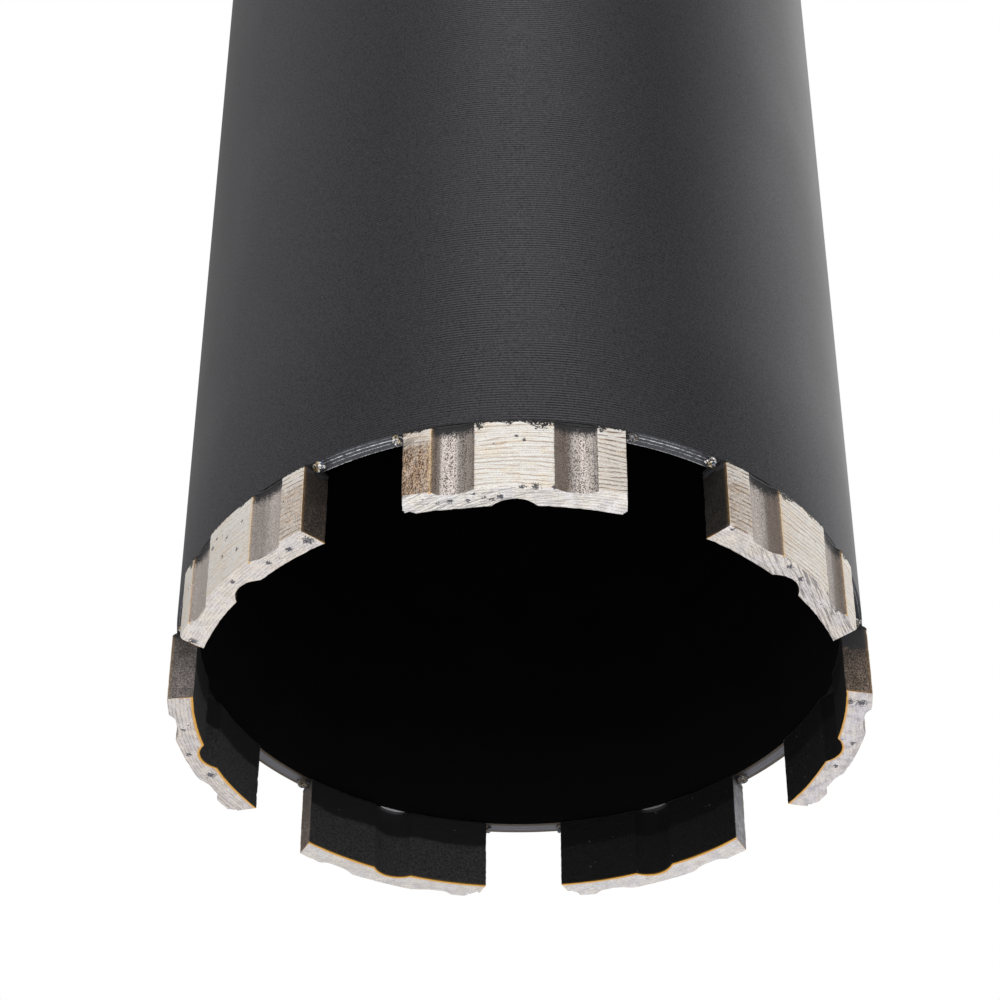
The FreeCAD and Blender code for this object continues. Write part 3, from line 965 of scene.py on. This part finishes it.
def make_barrel():
    """Barrel with a coat outside, a turned end face with painted highlights, and a black bore under painted
    shade.
    """
    soft = 0.3 * RIM_BREAK
    corners = np.array([
        (BARREL_INNER, BARREL_TOP),
        (BARREL_INNER, RIM_HEIGHT + RIM_BREAK),
        (BARREL_INNER + soft, RIM_HEIGHT + soft),
        (BARREL_INNER + RIM_BREAK, RIM_HEIGHT),
        (BARREL_OUTER - RIM_BREAK, RIM_HEIGHT),
        (BARREL_OUTER - soft, RIM_HEIGHT + soft),
        (BARREL_OUTER, RIM_HEIGHT + RIM_BREAK),
        (BARREL_OUTER, BARREL_TOP - WELD_GROOVE),
        (BARREL_OUTER - WELD_GROOVE, BARREL_TOP),
    ])
    outside, end_face, inside = range(3)
    corner_slots = [inside] * 3 + [end_face] * 3 + [outside] * 3
    profile = []
    slots = []
    for start, following, slot in zip(corners, np.roll(corners, -1, axis=0), corner_slots):
        length = math.dist(start, following)
        count = max(1, round(length / (LONG_STEP if length > LONG_STEP else SHORT_STEP)))
        profile += [start + (following - start) * (step / count) for step in range(count)]
        slots += [slot] * count
    angles = evenly_round(720)
    vertices, faces = lathe(profile, angles)
    materials = [surfaced("barrel_coat", coat), surfaced("rim_steel", rim), surfaced("bore_coat_and_shade", bore)]
    piece = make_piece(
        "barrel_shell", vertices.reshape(-1, 3), faces, materials, "barrel",
        np.tile(slots, len(angles)), crisp=30,
    )
    around = np.degrees(np.repeat(angles, len(profile)))
    step = 360 / SEGMENT_COUNT
    from_segment = np.abs((around + step / 2) % step - step / 2)
    half_turn = math.degrees(math.asin(HALF_LENGTH / BARREL_OUTER))
    from_far = np.abs(around - 180)
    inward = np.tile(np.array(profile)[:, 0] < BARREL_MIDDLE, len(angles))
    at_notch = (from_far > CRESCENT[0]) & (from_far < CRESCENT[1]) & inward
    set_numbers(
        piece,
        worn=np.where(at_notch, 0, np.interp(around, *zip(*WORN_RIM))),
        # painted highlight where the far notches show the end face
        crescent=at_notch * np.where(around < 180, *NOTCH_PAINTED_HIGHLIGHT),
        shown=np.maximum(from_segment > half_turn - 0.3, at_notch),
    )


# How brown each segment's lands are: left, centre, right as seen from outside
LAND_BURNS = (
    (1.0, 0.0, 0.15), (0.4, 0.1, 0.1), (0.3, 0.2, 0.2), (0.3, 0.2, 0.3),
    (0.3, 0.2, 0.3), (0.2, 0.2, 0.3), (0.1, 0.1, 0.5),
)

# How light each segment's faces are: left end, right end, inner face
FACE_TONES = (
    (0.6, 0.6, 1.0), (0.12, 0.8, 0.4), (1.15, 0.8, 0.2), (1.6, 0.8, 0.25),
    (0.8, 1.1, 1.2), (0.8, 1.35, 1.2), (0.8, 0.35, 0.8),
)

# Painted shade across each segment's left and right groove, darker where less light falls on its walls and
# floor, at places in shares of its width
SHADE_PLACES = (0.0, 0.18, 0.28, 0.52, 0.65, 1.0)
PLAIN_PAINTED_SHADES = (0.5, 0.45, 0.35, 0.35, 0.4, 0.5)
GROOVE_PAINTED_SHADES = (
    ((1.0, 0.95, 0.1, 0.0, 0.72, 0.85), (1.0, 1.0, 1.0, 0.3, 0.0, 0.7)),
    ((0.1, 0.0, 0.0, 0.3, 0.85, 0.95), (0.4, 0.3, 0.25, 0.3, 0.75, 0.9)),
    (PLAIN_PAINTED_SHADES, PLAIN_PAINTED_SHADES),
    (PLAIN_PAINTED_SHADES, PLAIN_PAINTED_SHADES),
    (PLAIN_PAINTED_SHADES, PLAIN_PAINTED_SHADES),
    (PLAIN_PAINTED_SHADES, PLAIN_PAINTED_SHADES),
    ((0.4, 0.3, 0.3, 0.3, 0.3, 0.35), (0.5, 0.55, 0.55, 0.18, 0.05, 0.0)),
)

# How much each segment has of: sand in the grooves, lines on the lands, tone of the lands,
# long strokes and blotches on the cutting face
SANDY = (1.0, 0.45, 0.3, 0.3, 0.3, 0.3, 0.2)
LINED = (1.0, 0.8, 0.6, 0.6, 0.6, 0.6, 0.45)
LAND_TONES = (1.0, 0.93, 0.93, 0.93, 0.93, 0.93, 0.93)
STROKED = (0.9, 0.6, 0.2, 0.2, 0.3, 0.8, 0.6)
BLOTCHED = (0.3, 0.25, 0.7, 0.3, 0.3, 0.35, 0.25)

# Short brown dashes on each segment's left, centre and right land
LAND_DASHES = (
    (0.0, 0.0, 0.9), (1.0, 0.35, 0.1), (0.2, 0.2, 0.2), (0.2, 0.2, 0.2),
    (0.2, 0.2, 0.2), (0.2, 0.2, 0.2), (0.0, 0.0, 0.8),
)

# Colour cast of each cutting face
CUTTING_TINTS = (
    (1.0, 0.98, 0.96), (0.84, 0.80, 0.78), (0.80, 0.77, 0.78), (0.82, 0.80, 0.80),
    (0.78, 0.76, 0.75), (0.78, 0.74, 0.72), (0.88, 0.84, 0.81),
)

# Angles of the scratches on each cutting face, at its left and right end, and how deep they are
# at its left end, middle and right end
SLANTS = ((0.6, 0.1), (-0.35, -0.35), (0.3, 0.3), (0.3, 0.3), (0.3, 0.3), (0.3, 0.3), (0.15, 0.15))
SCORES = (
    (0.8, 0.7, 0.2), (0.1, 1.0, 0.9), (0.2, 0.3, 0.2), (0.2, 0.2, 0.2),
    (0.2, 0.2, 0.2), (0.3, 0.2, 0.2), (0.15, 0.1, 0.3),
)

# Painted orange highlights along edges of the lands: segment, place across
HIGHLIT_LAND_EDGES = (
    (1, -LAND_MOUTH), (7, -LAND_MOUTH), (7, CENTRE_LAND / 2), (2, -CENTRE_LAND / 2), (2, LAND_MOUTH),
)

# How strong the painted orange highlight is along the edge where each cutting face meets the inner face
INNER_EDGE_HIGHLIGHTS = (0.0, 0.12, 0.6, 0.8, 0.8, 0.8, 0.2)

# How far the paint comes down each segment's left end face, and all right ones
PAINT_ENDS = (0.8, 0.8, 3.4, 0.8, 0.8, 0.8, 0.8)
PAINT_END_RIGHT = 0.6

# Where paint runs down over the lands: segment, place across, half width, drop
PAINT_RUNS = (
    (1, 2.9, 1.5, 1.3), (1, -0.7, 0.6, 0.7), (1, -3.7, 0.5, 1.2), (1, 9.4, 0.6, 0.8), (1, -10.6, 1.0, 0.45),
    (2, -3.2, 1.2, 0.9), (2, 1.5, 1.0, 0.5), (2, 9.6, 0.8, 0.9), (7, 2.2, 0.8, 0.4), (7, -9.6, 0.8, 1.1),
)
PAINT_DROP = 0.16

# Small dark pits: segment, place (across, outward, up), radius
PITS = (
    (1, (2.3, 41.0, 0.15), 0.42), (1, (0.8, 41.0, 0.1), 0.30), (1, (1.05, 41.0, 6.6), 0.22),
    (1, (0.2, 41.0, 7.2), 0.18), (1, (-2.1, 41.0, 6.2), 0.16), (1, (4.3, 40.8, 0.2), 0.28),
    (1, (-1.5, 39.4, 0), 0.34), (1, (-2.4, 39.0, 0), 0.26), (1, (-3.3, 39.3, 0), 0.24),
    (1, (-5.0, 38.8, 0), 0.24), (1, (-6.9, 38.6, 0), 0.32), (1, (-8.2, 38.3, 0), 0.25),
    (1, (-9.6, 38.0, 0), 0.24), (1, (-4.3, 39.9, 0), 0.2),
    (2, (-11.4, 39.0, 0), 0.3), (2, (0.2, 39.7, 0), 0.3), (2, (-2.4, 40.1, 0), 0.3), (2, (7.7, 39.6, 0), 0.3),
    (3, (-10.0, 38.5, 0), 0.55), (3, (-10.0, 37.0, 0), 0.45), (3, (-2.0, 39.8, 0), 0.3),
    (3, (3.0, 39.2, 0), 0.3),
    (6, (-3.7, 39.0, 0), 0.5), (6, (6.0, 39.2, 0), 0.25), (6, (1.0, 40.2, 0), 0.3), (6, (0.4, 39.0, 0), 0.25),
    (7, (11.2, 37.6, 0), 0.55), (7, (8.8, 38.4, 0), 0.35), (7, (6.9, 40.0, 0), 0.3),
    (7, (-11.5, 37.7, 0), 0.45), (7, (-2.6, 41.0, 7.6), 0.2), (7, (1.9, 41.0, 3.2), 0.2),
    (7, (-0.4, 41.0, 6.2), 0.24), (7, (2.6, 41.0, 6.8), 0.18), (7, (0.3, 40.2, 0), 0.26),
    (7, (-3.4, 40.8, 6.8), 0.26), (7, (-1.0, 41.0, 4.0), 0.22), (7, (5.5, 39.0, 0), 0.28),
)


def across_ramp(across, left, centre, right):
    """A value for each land or third of a segment, changing between them."""
    marks = (-CENTRE_LAND / 2 - 0.2, -CENTRE_LAND / 2, CENTRE_LAND / 2, CENTRE_LAND / 2 + 0.2)
    return np.interp(across, marks, (left, centre, centre, right))


def golden_edges(index, local):
    """Strength of the painted orange edge highlights at each vertex."""
    across, outward, up = local.T
    near_outer = ridge(outer_face(across, up) - outward, 0.25)
    edge = np.zeros(len(local))
    for place, in rows_for(HIGHLIT_LAND_EDGES, index):
        edge = np.maximum(edge, 0.7 * near_outer * ridge(across - place, 0.2))
    shown = np.maximum(near_outer, ridge(up, 0.25))
    at_ends = 0.1 if index == 0 else 0.75
    edge = np.maximum(edge, at_ends * shown * ridge(HALF_LENGTH - np.abs(across), 0.09))
    to_inner = np.hypot(outward - inner_face(across), up)
    return np.maximum(edge, INNER_EDGE_HIGHLIGHTS[index] * ridge(to_inner, 0.36))


def mark_segment(piece, index, local):
    """Give the looks what they need to know at each vertex."""
    across, outward, up = local.T
    on_left = across < 0
    end_span = (-HALF_LENGTH, HALF_LENGTH)
    slant = np.interp(across, end_span, SLANTS[index])
    radial = outward - INNER_RADIUS
    along = across * np.cos(slant) + radial * np.sin(slant)
    aside = radial * np.cos(slant) - across * np.sin(slant)
    arc = (np.arctan2(across, outward) * BIT_RADIUS, np.hypot(across, outward), up)
    set_vectors(
        piece,
        local=local,
        grain=local + 40.0 * (index + 1),
        arc=np.stack(arc, axis=-1) + 40.0 * index,
        slanted=np.stack([0.12 * along, 2.4 * aside, up], axis=-1) + 40.0 * index,
        tint=CUTTING_TINTS[index],
    )
    along_groove = (across + np.where(on_left, LAND_MOUTH, -CENTRE_LAND / 2)) / GROOVE_MOUTH
    painted_shades = [np.interp(along_groove, SHADE_PLACES, painted_shades) for painted_shades in GROOVE_PAINTED_SHADES[index]]
    drop = np.full(len(local), PAINT_DROP)
    for place, half_width, depth in rows_for(PAINT_RUNS, index):
        drop = np.maximum(drop, depth * ridge(across - place, half_width))
    pit = np.zeros(len(local))
    for place, radius in rows_for(PITS, index):
        pit = np.maximum(pit, ridge(np.linalg.norm(local - np.array(place), axis=1), 1.6 * radius))
    left_end, right_end, inner_tone = FACE_TONES[index]
    near_end = np.abs(across) > HALF_LENGTH - 0.12
    left_burn = LAND_BURNS[index][0]
    set_numbers(
        piece,
        burn=across_ramp(across, *LAND_BURNS[index]),
        dashed=across_ramp(across, *LAND_DASHES[index]),
        scratched=ridge(across + HALF_LENGTH, 1.6) * left_burn,
        scored=np.interp(across, (-HALF_LENGTH, 0, HALF_LENGTH), SCORES[index]),
        # painted orange highlights along the edges
        golden=golden_edges(index, local),
        # painted shade across the grooves
        shade=np.where(on_left, *painted_shades),
        sandy=SANDY[index],
        lined=LINED[index],
        land_tone=LAND_TONES[index],
        stroked=STROKED[index],
        blotched=BLOTCHED[index],
        paint_drop=drop,
        paint_edge=SEGMENT_HEIGHT - np.where(on_left, PAINT_ENDS[index], PAINT_END_RIGHT),
        tone=np.where(near_end, np.where(on_left, left_end, right_end), inner_tone),
        pit=pit,
    )


def make_segments():
    """The seven segments, each with its own wear."""
    looks = {"ground_land": ground, "cutting_face": cutting, "groove_sand": groove,
             "segment_end": end, "segment_inner": inner}
    materials = [surfaced(name, look) for name, look in looks.items()]
    on_ground, on_cutting, on_groove, on_end, on_inner = range(5)
    side_slots = np.array([on_ground, on_inner, on_cutting, on_end, on_end, on_end])
    for index in range(SEGMENT_COUNT):
        local, faces, sides = segment_mesh(index)
        slots = side_slots[sides]
        centres = local[faces].mean(axis=1)
        slots[(sides == OUTER) & (groove_depth(centres[:, 0]) > 0.04)] = on_groove
        piece = make_piece(
            f"segment_{index + 1}_ground", on_crown(local, index), faces, materials,
            f"segment_{index + 1}", slots,
        )
        mark_segment(piece, index, local)


def seam_block(index):
    """Seam between a segment and the barrel, with a rounded ledge outside."""
    field = Field(200 + index)
    across = spaced((-HALF_LENGTH, *LAND_EDGES, HALF_LENGTH), 0.14, 0.3)
    deep = spaced((0.0, 1.0), 1 / 12, 0.6)
    high = np.linspace(SEGMENT_HEIGHT, RIM_HEIGHT, 7)
    places, faces, _ = box_shell(len(across), len(deep), len(high))
    at, up = across[places[:, 0]], high[places[:, 2]]
    rise = ((up - SEGMENT_HEIGHT) / (RIM_HEIGHT - SEGMENT_HEIGHT)) ** 2.5
    outer = outer_face(at, SEGMENT_HEIGHT)
    outer = outer + (np.sqrt((BARREL_OUTER - RIM_BREAK) ** 2 - at ** 2) - outer) * rise
    inner = inner_face(at)
    inner = inner + np.maximum(np.sqrt(BARREL_INNER ** 2 - at ** 2) - inner, 0) * rise
    local = np.stack([at, outer + (inner - outer) * deep[places[:, 1]], up], axis=-1)
    rough = 0.05 * field.at(local, (1.4, 1.4, 2.0), 3)
    on_face = (places[:, 1] == 0) & (places[:, 2] > 0)
    local[on_face, 1] -= np.abs(rough[on_face])
    return local, faces


def bead(index, side):
    """Run-out bead on the barrel's end face, a lump with its flat side up."""
    field = Field(300 + 2 * index + (side > 0))
    rings, around = 14, 28
    lift, turn = np.meshgrid(np.linspace(0, np.pi / 2, rings), evenly_round(around), indexing="ij")
    shape = [np.cos(turn) * np.cos(lift), np.sin(turn) * np.cos(lift), -np.sin(lift)]
    shape = np.stack(shape, axis=-1).reshape(-1, 3)
    swell = 1.2 - 0.55 * np.clip(np.abs(field.at(shape, 1.9, 3)), 0, 1)
    across = side * BEAD_PLACE
    middle = np.array([across, math.sqrt(BARREL_MIDDLE ** 2 - across ** 2) + 0.25, RIM_HEIGHT])
    local = middle + shape * BEAD_RADIUS * swell[:, None]
    local[:, 0] -= side * 0.25 * np.clip(-side * shape[:, 0], 0, 1)
    row = np.arange(rings - 1)[:, None] * around
    here = np.arange(around)[None, :]
    there = (here + 1) % around
    faces = np.stack([row + there, row + here, row + around + here, row + around + there], axis=-1)
    return local, faces.reshape(-1, 4).tolist() + [list(range(around))]


# How bare each segment's left and right bead is
BEAD_SHINE = ((1.0, 0.45), (1.0, 0.6), (0.6, 0.3), (0.3, 0.3), (0.3, 0.3), (0.3, 0.6), (0.6, 1.0))


def make_seams():
    """Laser seams with their beads."""
    material = surfaced("seam_metal", seam)
    for index in range(SEGMENT_COUNT):
        local, faces = seam_block(index)
        faces = faces.tolist()
        bare = [0.0] * len(local)
        for side, shine in zip((-1, 1), BEAD_SHINE[index]):
            lump, lump_faces = bead(index, side)
            faces += [[len(local) + corner for corner in face] for face in lump_faces]
            local = np.concatenate([local, lump])
            bare += [shine] * len(lump)
        piece = make_piece(
            f"segment_seam_{index + 1}", on_crown(local, index), faces, [material],
            f"segment_weld_{index + 1}", crisp=50,
        )
        set_numbers(piece, bare=bare)


def make_plate():
    """Back plate with its spigot."""
    spigot = BARREL_INNER - PLATE_CLEARANCE
    hub_hole = HUB_SPIGOT + HUB_CLEARANCE
    profile = softened([
        (hub_hole, PLATE_LOW),
        (hub_hole, PLATE_HIGH),
        (BARREL_OUTER - PLATE_EDGE, PLATE_HIGH),
        (BARREL_OUTER, PLATE_HIGH - PLATE_EDGE),
        (BARREL_OUTER, BARREL_TOP + WELD_GROOVE),
        (BARREL_OUTER - WELD_GROOVE, BARREL_TOP),
        (spigot, BARREL_TOP),
        (spigot, PLATE_LOW + PLATE_LEAD),
        (spigot - PLATE_LEAD, PLATE_LOW),
    ], 0.15)[::-1]
    vertices, faces = lathe(profile, evenly_round(360))
    material = surfaced(
        "plate_coat", turned, (0.022, 0.022, 0.023), (0.036, 0.036, 0.038), 0.0, 0.4, 2.0, 0.00005,
    )
    make_piece(
        "back_plate_turned", vertices.reshape(-1, 3), faces, [material], "back_plate", crisp=35,
    )


BELLY_STEPS = np.linspace(0, 1, 15)


def rippled_ring(name, back, belly, ripples, depth, seed, material, node):
    """A weld ring with overlapping ripples on its belly, from a hidden back corner."""
    angles = evenly_round(ripples * 12)
    grid, faces = lathe([back, *zip(*belly)], angles)
    field = Field(seed)
    for row, step in enumerate(BELLY_STEPS, 1):
        arch = math.sin(math.pi * step)
        place = grid[:, row]
        phase = angles * ripples / (2 * math.pi) + 0.6 * arch + 0.25 * field.at(place, 0.25, 2)
        dip = depth * arch * (0.5 + 0.5 * np.cos(2 * np.pi * phase)) ** 0.7
        place[:, :2] *= (1 - dip / np.linalg.norm(place[:, :2], axis=1))[:, None]
    make_piece(name, grid.reshape(-1, 3), faces, [material], node, crisp=60)


def make_welds():
    """The weld round the plate, in the frame's own coat, and the bare fillet weld at the hub's foot."""
    frame_coat = bpy.data.materials["plate_coat"]
    angle = math.pi * (BELLY_STEPS - 0.5)
    belly = (BARREL_OUTER + WELD_CROWN * np.cos(angle), BARREL_TOP + WELD_GROOVE * np.sin(angle))
    back = (BARREL_OUTER - WELD_GROOVE, BARREL_TOP)
    rippled_ring("plate_weld_bead", back, belly, 120, 0.16, 15, frame_coat, "plate_weld")

    bare = surfaced("weld_steel", turned, (0.10, 0.095, 0.09), (0.34, 0.32, 0.30), 0.85, 0.38, 1.2, 0.00006)
    swell = 0.1 * FILLET_LEG * (0.22 * np.sin(math.pi * BELLY_STEPS) + 1) * np.sin(math.pi * BELLY_STEPS)
    belly = (
        HUB_RADIUS + FILLET_LEG * (1 - BELLY_STEPS) + swell,
        PLATE_HIGH + FILLET_LEG * BELLY_STEPS + swell,
    )
    back = (HUB_RADIUS, PLATE_HIGH)
    rippled_ring("hub_weld_bead", back, belly, 64, 0.45, 13, bare, "hub_weld")


def make_hub():
    """Turned hub with wrench flats and a helical thread in its bore."""
    corner = math.acos(FLATS_HALF / HUB_RADIUS)
    right = [np.linspace(-corner, corner, 41), np.linspace(corner, math.pi - corner, 61)[1:-1]]
    right = np.concatenate(right)
    angles = np.concatenate([right, right + math.pi]) + math.pi / 2
    shoulder = HUB_TOP - FLATS_HEIGHT
    foot = [
        (THREAD_BORE, HUB_LOW),
        (HUB_SPIGOT - HUB_LEAD, HUB_LOW),
        (HUB_SPIGOT, HUB_LOW + HUB_LEAD),
        (HUB_SPIGOT, PLATE_HIGH),
        (HUB_RADIUS, PLATE_HIGH),
        (HUB_RADIUS, shoulder),
    ]
    flats = [(HUB_RADIUS, shoulder), (HUB_RADIUS, HUB_TOP - HUB_EDGE), (HUB_RADIUS - HUB_EDGE, HUB_TOP)]
    thread_top = HUB_TOP - (THREAD_MOUTH - THREAD_BORE)
    heights = np.linspace(thread_top, HUB_LOW, 210)[:-1]
    thread = [(THREAD_BORE, height) for height in heights]
    grid, faces = lathe([*foot, *flats, (THREAD_MOUTH, HUB_TOP), *thread], angles)
    across_flats = grid[:, len(foot):len(foot) + len(flats), 0]
    np.clip(across_flats, -FLATS_HALF, FLATS_HALF, out=across_flats)
    phase = (heights / THREAD_PITCH - angles[:, None] / (2 * math.pi)) % 1
    tooth = np.clip(1.25 - 2.5 * np.abs(phase - 0.5), 0, 1)
    fade = np.clip(np.minimum(thread_top - heights, heights - HUB_LOW), 0, 1)
    radius = THREAD_BORE + THREAD_DEPTH * tooth * fade
    grid[:, -len(heights):, 0] = radius * np.sin(angles)[:, None]
    grid[:, -len(heights):, 1] = -radius * np.cos(angles)[:, None]
    material = surfaced("hub_steel", turned, (0.30, 0.30, 0.31), (0.62, 0.61, 0.60), 0.95, 0.3, 1.6, 0.00005)
    make_piece(
        "coupling_hub_turned", grid.reshape(-1, 3), faces, [material], "coupling_hub", crisp=30,
    )


bpy.context.scene.view_settings.view_transform = "Standard"
make_camera()
make_world()
make_floor()
make_flag_dome()
make_lamp("front_lamp", (-0.12, -1.0, 1.1), 0.55, 6.8, in_gloss=False)
make_lamp("low_lamp", (-0.1, -0.7, -1.1), 0.9, 4.0, in_gloss=True)
make_barrel()
make_segments()
make_seams()
make_plate()
make_welds()
make_hub()
